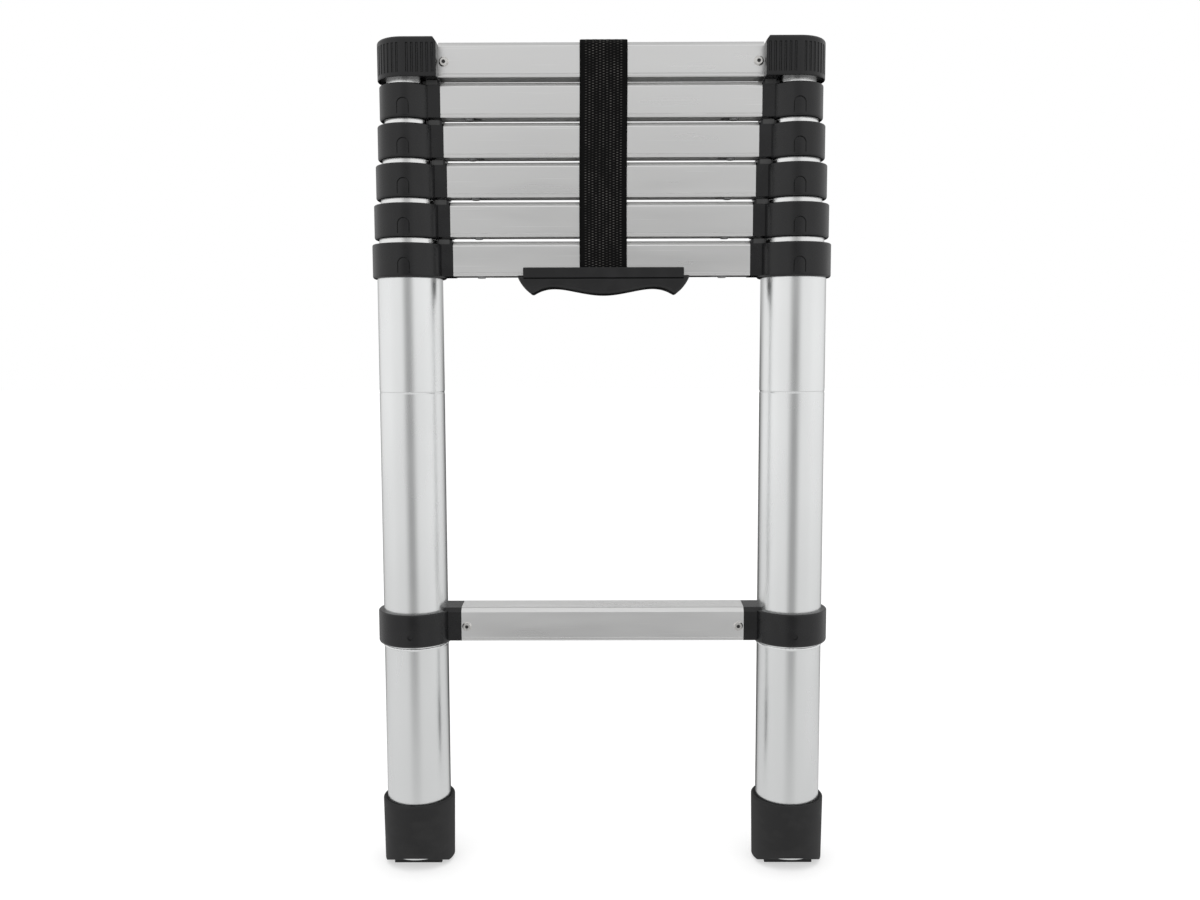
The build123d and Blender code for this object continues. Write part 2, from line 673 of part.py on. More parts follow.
# ---------------------------------------------------------------- latches
# A steel pin pressed into a nylon slider whose button shows under the rung, and its spring.
for k in COLLARS_ON_TUBES:
    pin_z = collar_base(k) + PIN_HEIGHT
    neck_x = COLUMN_X + NECK_REACH[k]
    tip_x = COLUMN_X + tube_r(k + 1) + PIN_CLEAR_OF_TUBE
    slider_x = neck_x + SLIDER_START
    with BuildPart() as latch:
        with BuildSketch(cross_plane(slider_x, pin_z)):
            Rectangle(2 * SLIDER_HALF_WIDTH, 2 * SLIDER_HALF_HEIGHT)
        extrude(amount=SLIDER_LENGTH)
        button_z = rung_bottom(k) - BUTTON_PROUD
        with BuildSketch(Plane((neck_x + BUTTON_OFFSET, BUTTON_Y, button_z))):
            Circle(BUTTON_R)
        extrude(amount=pin_z - button_z)
        fillet(latch.edges().sort_by(Axis.Z)[0], radius=BUTTON_ROUND)
        with BuildSketch(cross_plane(slider_x, pin_z)):
            Circle(PIN_R + PIN_SEAT_GAP)
        extrude(amount=PIN_IN_SLIDER, mode=Mode.SUBTRACT)
        with BuildSketch(cross_plane(tip_x, pin_z)):
            Circle(PIN_R)
        extrude(amount=slider_x + PIN_IN_SLIDER - tip_x)
        chamfer(latch.edges().sort_by(Axis.X)[0], length=PIN_CHAMFER)
    with BuildPart() as latch_left:
        add(latch.part)
    latch_left.part.label = f"latch_{k}_left"
    export_step(latch_left.part, f"parts/latch_{k}_left.step")
    with BuildPart() as latch_right:
        mirror(latch.part, about=Plane.YZ)
    latch_right.part.label = f"latch_{k}_right"
    export_step(latch_right.part, f"parts/latch_{k}_right.step")

    spring_start = slider_x + SLIDER_LENGTH + SPRING_END_GAP
    spring_length = neck_x + CRADLE_END - SPRING_END_GAP - spring_start
    with BuildPart() as spring_pair:
        with BuildLine() as coil:
            Helix(
                pitch=spring_length / SPRING_TURNS,
                height=spring_length,
                radius=SPRING_RADIUS,
                center=(spring_start, 0, pin_z),
                direction=(1, 0, 0),
            )
        with BuildSketch(Plane(origin=coil.line @ 0, z_dir=coil.line % 0)):
            Circle(SPRING_WIRE_R)
        sweep(path=coil.line, is_frenet=True)
        mirror(about=Plane.YZ)
    spring_pair.part.label = f"latch_springs_{k}"
    export_step(spring_pair.part, f"parts/latch_springs_{k}.step")


# ---------------------------------------------------------------- strap
# Webbing loop round rungs 2 to 7, with its overlap closed at the back.
def strap_outline(grow):
    """Loop round the stacked rungs, grown by grow, in (Y, Z)."""
    half = RUNG_DEPTH / 2 + grow
    top = rung_bottom(TOP_TUBE) + TREAD_BEAD_R + grow
    bottom = rung_bottom(LOWEST_TUBE) - grow
    return [
        (-half, bottom),
        (-half, top + RUNG_FRONT_HEIGHT),
        (RUNG_CREST_DEPTH - half, top + RUNG_CREST_HEIGHT),
        (half, top + RUNG_REAR_HEIGHT),
        (half, bottom + RUNG_BEVEL),
        (half - RUNG_BEVEL, bottom),
    ]


with BuildPart() as strap:
    with BuildSketch(cross_plane(STRAP_X - STRAP_WIDTH / 2)) as strap_section:
        with BuildLine():
            Polyline(*strap_outline(STRAP_GAP + STRAP_THICKNESS), close=True)
        make_face()
        fillet(strap_section.vertices(), radius=STRAP_CORNER_ROUND)
        with BuildLine():
            Polyline(*strap_outline(STRAP_GAP), close=True)
        make_face(mode=Mode.SUBTRACT)
    extrude(amount=STRAP_WIDTH)
strap.part.label = "strap"
export_step(strap.part, "parts/strap.step")


# ---------------------------------------------------------------- strap handle
# Moulded grip under the second rung, slotted for the strap, with two hollows for the fingers.
with BuildPart() as strap_handle:
    grip_back = Plane((STRAP_X, GRIP_HALF_DEPTH, 0), x_dir=(1, 0, 0), z_dir=(0, -1, 0))
    with BuildSketch(grip_back) as grip:
        with BuildLine():
            underside = Spline(
                (-HANDLE_HORN_FOOT, HANDLE_BOTTOM),
                (-HANDLE_FINGER_X, HANDLE_BOTTOM + HANDLE_FINGER_RISE),
                (-HANDLE_BELLY_X, HANDLE_BOTTOM + HANDLE_BELLY_RISE),
                (0, HANDLE_BOTTOM),
                (HANDLE_BELLY_X, HANDLE_BOTTOM + HANDLE_BELLY_RISE),
                (HANDLE_FINGER_X, HANDLE_BOTTOM + HANDLE_FINGER_RISE),
                (HANDLE_HORN_FOOT, HANDLE_BOTTOM),
            )
            horn_middle = (HANDLE_HORN_FOOT + HANDLE_HORN_TIP) / 2 + HANDLE_HORN_BULGE
            horn_height = (HANDLE_BOTTOM + HANDLE_SEAT_Z) / 2 - HANDLE_HORN_BULGE
            right_horn = ThreePointArc(
                underside @ 1, (horn_middle, horn_height), (HANDLE_HORN_TIP, HANDLE_SEAT_Z)
            )
            left_horn = ThreePointArc(
                underside @ 0, (-horn_middle, horn_height), (-HANDLE_HORN_TIP, HANDLE_SEAT_Z)
            )
            Line(right_horn @ 1, left_horn @ 1)
        make_face()
        fillet(grip.vertices().group_by(Axis.Y)[0], radius=HANDLE_HORN_ROUND)
    extrude(amount=2 * GRIP_HALF_DEPTH)
    rims = strap_handle.edges().group_by(Axis.Y)
    fillet(rims[0] + rims[-1], radius=GRIP_ROUND)
    # lips in front of and behind the rung
    with BuildSketch(Plane((STRAP_X, 0, HANDLE_SEAT_Z - OVERCUT))):
        Rectangle(2 * HANDLE_PLATE_HALF, 2 * HANDLE_PLATE_DEPTH)
    extrude(amount=HANDLE_PLATE_TOP - HANDLE_SEAT_Z + OVERCUT)
    fillet(strap_handle.edges().group_by(Axis.Z)[-1], radius=HANDLE_PLATE_ROUND)
    # seat for the rung
    with BuildSketch(cross_plane(STRAP_X - HANDLE_HORN_TIP - OVERCUT, rung_bottom(LOWEST_TUBE))):
        with BuildLine():
            Polyline(*rung_corners(-STRAP_GAP), close=True)
        make_face()
    extrude(amount=2 * (HANDLE_HORN_TIP + OVERCUT), mode=Mode.SUBTRACT)
    # channel for the strap
    with BuildSketch(cross_plane(STRAP_X - STRAP_WIDTH / 2 - STRAP_GAP)):
        with BuildLine():
            Polyline(*strap_outline(2 * STRAP_GAP + STRAP_THICKNESS), close=True)
        make_face()
    extrude(amount=STRAP_WIDTH + 2 * STRAP_GAP, mode=Mode.SUBTRACT)
strap_handle.part.label = "strap_handle"
export_step(strap_handle.part, "parts/strap_handle.step")
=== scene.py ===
import json
from math import cos, pi, radians, sin

import bmesh
import bpy
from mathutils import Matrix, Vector


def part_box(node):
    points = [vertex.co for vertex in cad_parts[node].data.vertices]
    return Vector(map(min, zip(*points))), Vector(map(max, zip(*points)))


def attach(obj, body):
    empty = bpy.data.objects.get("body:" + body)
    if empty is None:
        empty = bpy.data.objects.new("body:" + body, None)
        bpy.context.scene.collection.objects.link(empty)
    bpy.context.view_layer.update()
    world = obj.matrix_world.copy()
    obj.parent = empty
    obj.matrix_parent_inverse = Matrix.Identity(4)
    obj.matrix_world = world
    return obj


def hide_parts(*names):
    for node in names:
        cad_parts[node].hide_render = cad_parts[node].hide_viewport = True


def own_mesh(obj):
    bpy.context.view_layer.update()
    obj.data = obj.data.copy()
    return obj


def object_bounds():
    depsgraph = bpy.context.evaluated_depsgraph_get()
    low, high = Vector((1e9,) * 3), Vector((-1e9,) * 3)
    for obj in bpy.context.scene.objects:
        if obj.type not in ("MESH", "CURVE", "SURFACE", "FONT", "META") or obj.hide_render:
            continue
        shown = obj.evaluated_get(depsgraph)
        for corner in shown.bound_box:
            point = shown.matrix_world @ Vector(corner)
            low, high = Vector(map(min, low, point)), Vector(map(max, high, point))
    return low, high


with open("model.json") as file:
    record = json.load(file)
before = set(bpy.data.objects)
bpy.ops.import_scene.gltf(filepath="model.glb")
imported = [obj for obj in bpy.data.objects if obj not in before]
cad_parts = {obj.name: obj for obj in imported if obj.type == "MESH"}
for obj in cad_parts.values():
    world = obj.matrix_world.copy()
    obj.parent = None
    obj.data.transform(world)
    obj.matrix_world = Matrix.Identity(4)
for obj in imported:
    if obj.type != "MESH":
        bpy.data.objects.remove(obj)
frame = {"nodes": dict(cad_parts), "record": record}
cad_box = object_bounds()
nodes = frame["nodes"]

# ---------------------------------------------------------------- camera
# Eye height of a person crouching in front of the closed ladder, with the lens a little above
# its middle and tipped down, so that both feet and the top of the first rung are seen.
scene = bpy.context.scene
camera = bpy.data.objects.new("camera", bpy.data.cameras.new("camera"))
scene.collection.objects.link(camera)
scene.camera = camera
camera.data.sensor_width = 36
camera.data.lens = 32.5
camera.location = (0.0016, -0.895, 0.4295)
camera.rotation_euler = (radians(84.9), radians(0.15), radians(0.2))

# ---------------------------------------------------------------- floor
# A sheet of white card, lit through from below and large enough to run out of sight. The metal
# doesn't mirror it: the tent has its own tone for the table.
FLOOR_HALF = 12.0
floor_mesh = bpy.data.meshes.new("floor")
floor_mesh.from_pydata(
    [(-FLOOR_HALF, -FLOOR_HALF, 0), (FLOOR_HALF, -FLOOR_HALF, 0),
     (FLOOR_HALF, FLOOR_HALF, 0), (-FLOOR_HALF, FLOOR_HALF, 0)],
    [], [(0, 1, 2, 3)])
floor = bpy.data.objects.new("floor", floor_mesh)
scene.collection.objects.link(floor)
card = bpy.data.materials.new("white_card")
card.use_nodes = True
card_shader = card.node_tree.nodes["Principled BSDF"]
card_shader.inputs["Base Color"].default_value = (0.55, 0.55, 0.55, 1)
card_shader.inputs["Roughness"].default_value = 0.9
card_shader.inputs["Emission Color"].default_value = (1, 1, 1, 1)
card_shader.inputs["Emission Strength"].default_value = 0.5
floor_mesh.materials.append(card)
floor.visible_glossy = False

# ---------------------------------------------------------------- studio light
# A white tent. What the metal mirrors of it is a grey gap in front, bright panels round both
# sides, greyer cloth behind, the pale table below and a black cloth low behind.
TABLE_TONE = 0.72
scene.view_settings.view_transform = "Standard"
world = bpy.data.worlds.new("tent")
world.use_nodes = True
scene.world = world
tent = world.node_tree
tent.nodes.clear()
direction = tent.nodes.new("ShaderNodeTexCoord")
axes = tent.nodes.new("ShaderNodeSeparateXYZ")
tent.links.new(direction.outputs["Generated"], axes.inputs[0])


def maths(tree, operation, *values):
    """One sum in a node tree, on numbers and on the outputs of other nodes."""
    node = tree.nodes.new("ShaderNodeMath")
    node.operation = operation
    for socket, value in zip(node.inputs, values):
        if isinstance(value, (int, float)):
            socket.default_value = value
        else:
            tree.links.new(value, socket)
    return node.outputs[0]


def tent_ramp(place, stops):
    """Grey levels at places from 0 to 1."""
    node = tent.nodes.new("ShaderNodeValToRGB")
    for extra in range(len(stops) - 2):
        node.color_ramp.elements.new(0.5)
    for element, (position, level) in zip(node.color_ramp.elements, stops):
        element.position = position
        element.color = (level, level, level, 1)
    tent.links.new(place, node.inputs[0])
    return node.outputs[0]


def tent_blend(first, second, share):
    """First where the share is 0, second where it is 1."""
    change = maths(tent, "SUBTRACT", second, first)
    return maths(tent, "MULTIPLY_ADD", change, share, first)


toward_front = maths(tent, "MULTIPLY", axes.outputs["Y"], -1.0)
turn = maths(tent, "ABSOLUTE", maths(tent, "ARCTAN2", axes.outputs["X"], toward_front))
turned = maths(tent, "DIVIDE", turn, pi)
raised = maths(tent, "MULTIPLY_ADD", axes.outputs["Z"], 0.5, 0.5)
panels = tent_ramp(turned, [
    (0.0, 0.90), (0.28, 0.92), (0.40, 0.98), (0.55, 0.95), (0.70, 0.88), (0.82, 0.48), (1.0, 0.50)])
panel_fall = tent_ramp(raised, [
    (0.0, 0.7), (0.37, 0.76), (0.42, 0.90), (0.46, 1.0), (0.7, 1.0), (1.0, 0.86)])
around = maths(tent, "MULTIPLY", panels, panel_fall)
gap_level = tent_ramp(raised, [
    (0.0, 0.32), (0.54, 0.30), (0.56, 0.38), (0.58, 0.52), (0.61, 0.74), (0.63, 0.86), (1.0, 0.9)])
gap = tent_ramp(turned, [(0.0, 1.0), (0.045, 0.95), (0.12, 0.0), (1.0, 0.0)])
above_table = tent_blend(around, gap_level, gap)
table = tent_ramp(raised, [(0.0, 1.0), (0.32, 1.0), (0.36, 0.0), (1.0, 0.0)])
table_too = tent_blend(above_table, TABLE_TONE, table)
black_cloth = maths(
    tent, "MULTIPLY",
    tent_ramp(turned, [(0.0, 0.0), (0.80, 0.0), (0.90, 1.0), (1.0, 1.0)]),
    tent_ramp(raised, [(0.0, 1.0), (0.49, 1.0), (0.53, 0.0), (1.0, 0.0)]))
mirrored = tent_blend(table_too, 0.0, black_cloth)
what_is_lit = tent.nodes.new("ShaderNodeLightPath")
seen = tent.nodes.new("ShaderNodeMix")
seen.data_type = "FLOAT"
seen.inputs[2].default_value = 1.0
tent.links.new(what_is_lit.outputs["Is Glossy Ray"], seen.inputs[0])
tent.links.new(mirrored, seen.inputs[3])
glow = tent.nodes.new("ShaderNodeBackground")
tent.links.new(seen.outputs[0], glow.inputs["Color"])
tent_output = tent.nodes.new("ShaderNodeOutputWorld")
tent.links.new(glow.outputs[0], tent_output.inputs[0])


def soft_lamp(name, place, target, size, watts):
    """A lamp behind cloth, which lights the pieces and isn't mirrored in the metal."""
    lamp = bpy.data.objects.new(name, bpy.data.lights.new(name, "AREA"))
    lamp.data.shape = "RECTANGLE"
    lamp.data.size, lamp.data.size_y = size
    lamp.data.energy = watts
    lamp.location = place
    lamp.rotation_euler = (Vector(target) - Vector(place)).to_track_quat("-Z", "Y").to_euler()
    lamp.visible_glossy = False
    scene.collection.objects.link(lamp)


middle = (0, 0, cad_box[1][2] / 2)
soft_lamp("lamp_overhead", (0, -0.3, 2.4), (0, 0, 0), (2.2, 2.2), 9)
soft_lamp("lamp_left", (-1.5, -1.3, 0.9), middle, (0.5, 1.8), 2.5)
soft_lamp("lamp_right", (1.5, -1.3, 0.9), middle, (0.5, 1.8), 2.5)

# ---------------------------------------------------------------- outer tubes
# The lowest pair of tubes, drawn aluminium 53 mm across, satin anodised. Drawing leaves fine
# lines along the tube, and handling leaves soft smudges in the anodising.


def new_finish(name, colour, roughness, metallic=0.0, **sockets):
    """A finish with even values, for patterns to vary. Sockets are written with _ for a space."""
    finish = bpy.data.materials.new(name)
    finish.use_nodes = True
    shader = finish.node_tree.nodes["Principled BSDF"]
    shader.inputs["Base Color"].default_value = (*colour, 1)
    shader.inputs["Roughness"].default_value = roughness
    shader.inputs["Metallic"].default_value = metallic
    for socket, value in sockets.items():
        shader.inputs[socket.replace("_", " ")].default_value = value
    return finish


def stretched_noise(finish, scale, detail=3.0, seed=0.0):
    """Noise whose grain is as fine along X, Y and Z as scale says, in waves per metre."""
    tree = finish.node_tree
    place = tree.nodes.new("ShaderNodeTexCoord")
    stretch = tree.nodes.new("ShaderNodeMapping")
    stretch.inputs["Scale"].default_value = scale
    stretch.inputs["Location"].default_value = (seed, seed, seed)
    noise = tree.nodes.new("ShaderNodeTexNoise")
    noise.inputs["Scale"].default_value = 1.0
    noise.inputs["Detail"].default_value = detail
    tree.links.new(place.outputs["Object"], stretch.inputs["Vector"])
    tree.links.new(stretch.outputs["Vector"], noise.inputs["Vector"])
    return noise.outputs["Fac"]


def rescale(finish, value, low, high, start=0.3, stop=0.7):
    """Maps a pattern from its usual spread to the range from low to high."""
    tree = finish.node_tree
    node = tree.nodes.new("ShaderNodeMapRange")
    node.inputs["From Min"].default_value = start
    node.inputs["From Max"].default_value = stop
    node.inputs["To Min"].default_value = low
    node.inputs["To Max"].default_value = high
    tree.links.new(value, node.inputs["Value"])
    return node.outputs["Result"]


def set_roughness(finish, value):
    """Lets a pattern say how rough the surface is."""
    finish.node_tree.links.new(value, finish.node_tree.nodes["Principled BSDF"].inputs["Roughness"])


def blend_colours(finish, value, first, second):
    """Colours the finish between first and second by a pattern from 0 to 1."""
    tree = finish.node_tree
    mix = tree.nodes.new("ShaderNodeMix")
    mix.data_type = "RGBA"
    mix.inputs[6].default_value = (*first, 1)
    mix.inputs[7].default_value = (*second, 1)
    tree.links.new(value, mix.inputs[0])
    tree.links.new(mix.outputs[2], tree.nodes["Principled BSDF"].inputs["Base Color"])


def relief(finish, value, depth, strength=1.0):
    """Raises the surface by depth metres where the pattern is 1."""
    tree = finish.node_tree
    shader = tree.nodes["Principled BSDF"]
    bump = tree.nodes.new("ShaderNodeBump")
    bump.inputs["Distance"].default_value = depth
    bump.inputs["Strength"].default_value = strength
    if shader.inputs["Normal"].links:
        tree.links.new(shader.inputs["Normal"].links[0].from_socket, bump.inputs["Normal"])
    tree.links.new(value, bump.inputs["Height"])
    tree.links.new(bump.outputs["Normal"], shader.inputs["Normal"])


def dress(finish, *names):
    """Gives the finish to framed pieces as they stand."""
    for name in names:
        for material_slot in nodes[name].material_slots:
            material_slot.link = "OBJECT"
            material_slot.material = finish


def drawn_tube_finish(name, colour):
    """Satin anodised tube with fine lines along its length and soft smudges."""
    finish = new_finish(name, colour, 0.3, metallic=1.0)
    smudges = stretched_noise(finish, (28, 28, 9), detail=4.0, seed=3.1)
    set_roughness(finish, rescale(finish, smudges, 0.22, 0.30))
    clouded = rescale(finish, stretched_noise(finish, (16, 16, 6), seed=8.4), 0.0, 1.0)
    darker = tuple(0.93 * level for level in colour)
    blend_colours(finish, clouded, darker, colour)
    relief(finish, stretched_noise(finish, (2600, 2600, 22), detail=2.0), 0.00002, 0.5)
    return finish


dress(drawn_tube_finish("satin_outer_tube", (0.86, 0.87, 0.87)), "tube_2_left", "tube_2_right")

# ---------------------------------------------------------------- sliding tubes
# Five more pairs of drawn aluminium, 49 to 33 mm across, nested inside the outer ones. They
# slide in and out, and are rubbed a little along their length.
sliding_tube = drawn_tube_finish("satin_sliding_tube", (0.86, 0.865, 0.86))
rub_marks = stretched_noise(sliding_tube, (900, 900, 6), detail=4.0, seed=1.7)
relief(sliding_tube, rub_marks, 0.00001, 0.4)
dress(sliding_tube, *(f"tubes_{number}" for number in range(3, 8)))

# ---------------------------------------------------------------- rungs
# Hollow aluminium extrusions with a beaded tread, satin anodised. The die leaves lines along
# the rung, and carrying has left a few long light scratches.
rung_metal = new_finish("satin_rung", (0.80, 0.80, 0.80), 0.38, metallic=1.0)
die_lines = stretched_noise(rung_metal, (5, 1900, 1900), detail=2.0)
long_clouds = stretched_noise(rung_metal, (9, 60, 60), detail=4.0, seed=5.2)
set_roughness(rung_metal, rescale(rung_metal, long_clouds, 0.27, 0.37))
scratches = stretched_noise(rung_metal, (11, 1500, 1500), detail=1.0, seed=2.9)
scratched = rescale(rung_metal, scratches, 0.0, 1.0, 0.70, 0.76)
blend_colours(rung_metal, scratched, (0.79, 0.79, 0.785), (0.93, 0.93, 0.93))
relief(rung_metal, die_lines, 0.00003, 0.45)
dress(rung_metal, *(f"rung_{number}" for number in range(1, 8)))

# ---------------------------------------------------------------- collars
# Rings moulded from black glass-filled nylon, pressed on the tubes and into the rung ends.
# The skin is satin, with a fine moulded grain and paler rubbed spots.


def nylon_finish(name, colour, roughness):
    """Satin moulding with a fine grain and paler rubbed spots."""
    finish = new_finish(name, colour, roughness, Specular_IOR_Level=0.42)
    rubbed = stretched_noise(finish, (70, 70, 70), detail=6.0, seed=4.4)
    paler = tuple(1.5 * level for level in colour)
    blend_colours(finish, rescale(finish, rubbed, 0.0, 1.0, 0.45, 0.75), colour, paler)
    set_roughness(finish, rescale(finish, rubbed, roughness - 0.05, roughness + 0.06))
    relief(finish, stretched_noise(finish, (2200, 2200, 2200), detail=2.0), 0.00004, 0.35)
    return finish


collar_nylon = nylon_finish("collar_nylon", (0.005, 0.005, 0.0055), 0.26)
for number in range(1, 7):
    dress(collar_nylon, f"collar_{number}_left", f"collar_{number}_right")

# ---------------------------------------------------------------- end caps
# Ribbed caps moulded from the same nylon as the collars. They close the top tubes and hold the
# seventh rung.
dress(nylon_finish("cap_nylon", (0.005, 0.005, 0.0055), 0.26), "end_cap_left", "end_cap_right")

# ---------------------------------------------------------------- stop pads
# Small blocks of dark grey elastomer, moulded apart and let into the risers, which cushion each
# section as it lands.
pad_elastomer = nylon_finish("pad_elastomer", (0.030, 0.030, 0.030), 0.6)
dress(pad_elastomer, *(f"stop_pads_{number}" for number in range(2, 7)))

# ---------------------------------------------------------------- guide bushes
# Nylon plugs set in the lower ends of the sliding tubes, which keep each tube central in the
# next. They are polished by sliding.
bush_nylon = nylon_finish("bush_nylon", (0.030, 0.030, 0.030), 0.35)
dress(bush_nylon, *(f"guide_bushes_{number}" for number in range(3, 8)))

# ---------------------------------------------------------------- rivets
# Blind steel rivets that hold the first and the seventh rung, with the stub of the broken
# mandrel in the middle. The hole round the stub is painted shade: a black, dull disc in
# the middle of the head.
EYE_RADIUS = 0.0016
EYE_SHADE_COLOUR = (0.012, 0.012, 0.012)
HEAD_COLOUR = (0.72, 0.71, 0.69)


def rivet_finish(name, node):
    """Satin steel head round a dark eye of painted shade, for the hole that holds the mandrel stub."""
    finish = new_finish(name, HEAD_COLOUR, 0.26, metallic=1.0)
    set_roughness(finish, rescale(finish, stretched_noise(finish, (700, 700, 700)), 0.18, 0.36))
    low, high = (Vector(corner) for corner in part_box(node))
    head_radius = (high.z - low.z) / 2
    tree = finish.node_tree
    place = tree.nodes.new("ShaderNodeTexCoord")
    fold = tree.nodes.new("ShaderNodeVectorMath")
    fold.operation = "ABSOLUTE"
    flatten = tree.nodes.new("ShaderNodeVectorMath")
    flatten.operation = "MULTIPLY"
    flatten.inputs[1].default_value = (1, 0, 1)
    from_middle = tree.nodes.new("ShaderNodeVectorMath")
    from_middle.operation = "DISTANCE"
    from_middle.inputs[1].default_value = (high.x - head_radius, 0, (low.z + high.z) / 2)
    tree.links.new(place.outputs["Object"], fold.inputs[0])
    tree.links.new(fold.outputs["Vector"], flatten.inputs[0])
    tree.links.new(flatten.outputs["Vector"], from_middle.inputs[0])
    distance = from_middle.outputs["Value"]
    # painted shade: black and not metallic inside the eye, blending to the steel head at its rim
    head = rescale(finish, distance, 0.0, 1.0, 0.8 * EYE_RADIUS, 1.1 * EYE_RADIUS)
    blend_colours(finish, head, EYE_SHADE_COLOUR, HEAD_COLOUR)
    tree.links.new(head, tree.nodes["Principled BSDF"].inputs["Metallic"])
    dress(finish, node)


rivet_finish("rivet_steel_low", "rivets_1")
rivet_finish("rivet_steel_high", "rivets_7")

# ---------------------------------------------------------------- latches
# Each is a steel pin pressed into a grey nylon slider, with its button under the rung, and a wire
# spring behind it that pushes the pin out. Pin and slider are one node, with one finish.
latch_nylon = nylon_finish("latch_nylon", (0.17, 0.17, 0.17), 0.45)
spring_wire = new_finish("spring_wire", (0.62, 0.62, 0.64), 0.25, metallic=1.0)
drawing_marks = stretched_noise(spring_wire, (900, 900, 900))
set_roughness(spring_wire, rescale(spring_wire, drawing_marks, 0.2, 0.32))
SPRING_TURNS = 6
STEPS_PER_TURN = 24
WIRE_SIDES = 8
WIRE_RADIUS = 0.0005


def made_piece(name, mesh, finish):
    """Turns finished mesh work into a smooth piece in the scene."""
    bmesh.ops.recalc_face_normals(mesh, faces=mesh.faces)
    data = bpy.data.meshes.new(name)
    mesh.to_mesh(data)
    mesh.free()
    data.shade_smooth()
    data.materials.append(finish)
    piece = bpy.data.objects.new(name, data)
    scene.collection.objects.link(piece)
    return piece


def coil_spring(name, free_end, fixed_end, height, radius):
    """A wire spring along X, from its free end against the slider to its fixed end."""
    mesh = bmesh.new()
    rings = []
    steps = SPRING_TURNS * STEPS_PER_TURN
    for i in range(steps + 1):
        turn_angle = 2 * pi * i / STEPS_PER_TURN
        x = free_end + (fixed_end - free_end) * i / steps
        ring = []
        for j in range(WIRE_SIDES):
            wire_angle = 2 * pi * j / WIRE_SIDES
            reach = radius + WIRE_RADIUS * cos(wire_angle)
            place = (
                x + WIRE_RADIUS * sin(wire_angle),
                reach * cos(turn_angle),
                height + reach * sin(turn_angle))
            ring.append(mesh.verts.new(place))
        rings.append(ring)
    for ring, following in zip(rings, rings[1:]):
        for j in range(WIRE_SIDES):
            k = (j + 1) % WIRE_SIDES
            mesh.faces.new((ring[j], following[j], following[k], ring[k]))
    mesh.faces.new(rings[0])
    mesh.faces.new(reversed(rings[-1]))
    return made_piece(name, mesh, spring_wire)


joints = {joint["name"]: joint for joint in frame["record"]["behaviour"]["joints"]}
for number in range(2, 7):
    low, high = (Vector(corner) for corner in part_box(f"latch_springs_{number}"))
    coil_radius = (high.z - low.z) / 2 - WIRE_RADIUS
    coil_height = (high.z + low.z) / 2
    for side, inward in (("left", 1), ("right", -1)):
        outer_end = low.x + WIRE_RADIUS if side == "left" else high.x - WIRE_RADIUS
        slide = f"latch_{number}_{side}_slide"
        inner_end = joints[slide]["deforming_nodes"][0]["fixed_end_x_m"]
        last_centre = inner_end - inward * 2 * WIRE_RADIUS
        spring = coil_spring(
            f"latch_spring_{number}_{side}", outer_end, last_centre, coil_height, coil_radius)
        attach(spring, "root" if number == 2 else f"section_{number}")
        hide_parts(f"latch_springs_{number}")
        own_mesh(spring)
        dress(latch_nylon, f"latch_{number}_{side}")

# ---------------------------------------------------------------- feet
# Boots moulded from black rubber, pushed on the outer tubes. The rubber is matte, and dusty
# where it rubs on the floor.
foot_rubber = new_finish("foot_rubber", (0.011, 0.011, 0.0115), 0.6, Specular_IOR_Level=0.35)
dust = stretched_noise(foot_rubber, (45, 45, 90), detail=7.0, seed=6.6)
dusty = rescale(foot_rubber, dust, 0.0, 1.0, 0.45, 0.8)
blend_colours(foot_rubber, dusty, (0.010, 0.010, 0.0105), (0.022, 0.022, 0.022))
set_roughness(foot_rubber, rescale(foot_rubber, dust, 0.55, 0.72))
relief(foot_rubber, stretched_noise(foot_rubber, (900, 900, 900), detail=3.0), 0.00008, 0.35)
dress(foot_rubber, "foot_left", "foot_right")

# ---------------------------------------------------------------- strap handle
# A grip moulded from black plastic, with hollows for the fingers. It sits on the underside of
# the second rung, and the strap runs through it.
dress(nylon_finish("handle_plastic", (0.006, 0.006, 0.0065), 0.38), "strap_handle")

# ---------------------------------------------------------------- strap
# Black polypropylene webbing 38 mm wide, woven with cross ribs and a smooth selvedge, in a
# closed loop round rungs two to seven and through the handle.
STRAP_WIDTH = 0.038
STRAP_THICK = 0.0014
STRAP_CLEARANCE = 0.0003
STRAP_BEND = 0.0016
LOWER_BEVEL = 0.007
CREST_DEPTH = 0.0028
CREST_DROP = 0.0012
FRONT_DROP = 0.0044
SELVEDGE = 0.003
EDGE_ROUND = 0.0009
EDGE_THICKNESS = 0.45
RIB_PITCH = 0.0021
RIB_HEIGHT = 0.00022
COLUMN_PITCH = 0.0028
POINTS_ACROSS = 44
POINTS_PER_RIB = 7
BEND_STEPS = 8


def rounded_loop(corners, radius, step):
    """Points at even steps round a closed outline in (Y, Z) whose corners are rounded."""
    outline = []
    for i, corner in enumerate(corners):
        corner = Vector(corner)
        into = (corner - Vector(corners[i - 1])).normalized()
        out = (Vector(corners[(i + 1) % len(corners)]) - corner).normalized()
        half_turn = into.angle(out) / 2
        cut = radius * sin(half_turn) / cos(half_turn)
        side = 1 if into.x * out.y - into.y * out.x > 0 else -1
        start = corner - into * cut
        centre = start + Vector((-into.y, into.x)) * side * radius
        arm = start - centre
        for j in range(BEND_STEPS + 1):
            angle = side * 2 * half_turn * j / BEND_STEPS
            outline.append(centre + Vector((
                arm.x * cos(angle) - arm.y * sin(angle),
                arm.x * sin(angle) + arm.y * cos(angle))))
    ends = outline[1:] + outline[:1]
    lengths = [(end - begin).length for begin, end in zip(outline, ends)]
    total = sum(lengths)
    wanted = round(total / step)
    points = []
    i = 0
    walked = 0.0
    for n in range(wanted):
        target = total * n / wanted
        while walked + lengths[i] < target:
            walked += lengths[i]
            i += 1
        share = (target - walked) / lengths[i] if lengths[i] > 0 else 0
        points.append(outline[i].lerp(ends[i], share))
    return points


